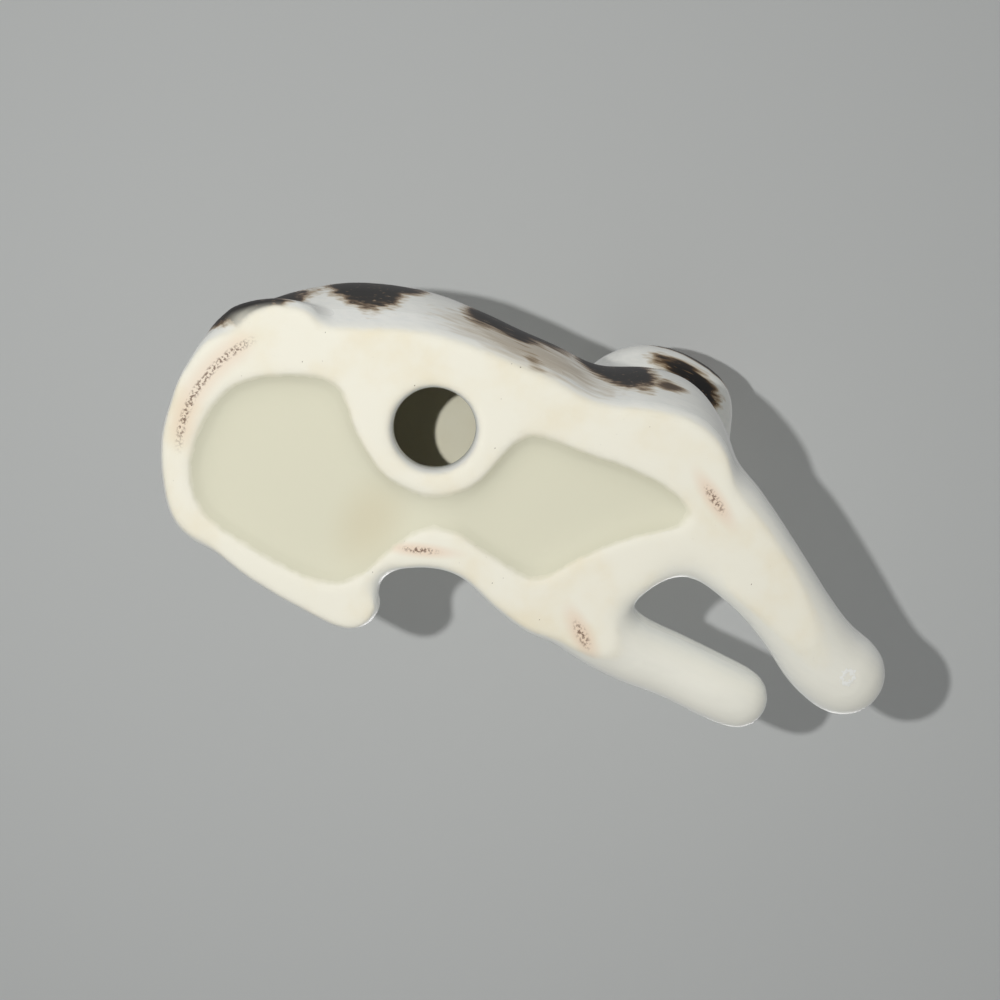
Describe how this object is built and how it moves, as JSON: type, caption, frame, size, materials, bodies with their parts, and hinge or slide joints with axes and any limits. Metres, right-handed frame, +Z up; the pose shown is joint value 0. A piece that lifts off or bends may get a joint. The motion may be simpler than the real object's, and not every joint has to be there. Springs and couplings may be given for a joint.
{
  "type": "porcelain cat figurine",
  "caption": "Glazed porcelain figurine of a reclining cat with outstretched forelegs: a hollow slip-cast body on a flat unglazed foot with a glazed recess and a casting vent.",
  "frame": {"origin": "centre of the object's box on the plane that the foot stands on", "axes": "+Z up, +X to the cat's left, +Y to the cat's rear, so the cat faces -Y"},
  "size_m": [0.0783, 0.1639, 0.0846],
  "materials": {
    "glazed_porcelain": "glossy white glaze with dark brown airbrushed fur patches",
    "bisque_foot": "matte cream unglazed land round a glossy recess"
  },
  "bodies": {
    "root": {"torso": "glazed_porcelain", "footed_base": "bisque_foot", "head": "glazed_porcelain", "left_ear": "glazed_porcelain", "right_ear": "glazed_porcelain", "left_foreleg": "glazed_porcelain", "right_foreleg": "glazed_porcelain", "left_hind_foot": "glazed_porcelain", "tail": "glazed_porcelain"}
  },
  "joints": []
}
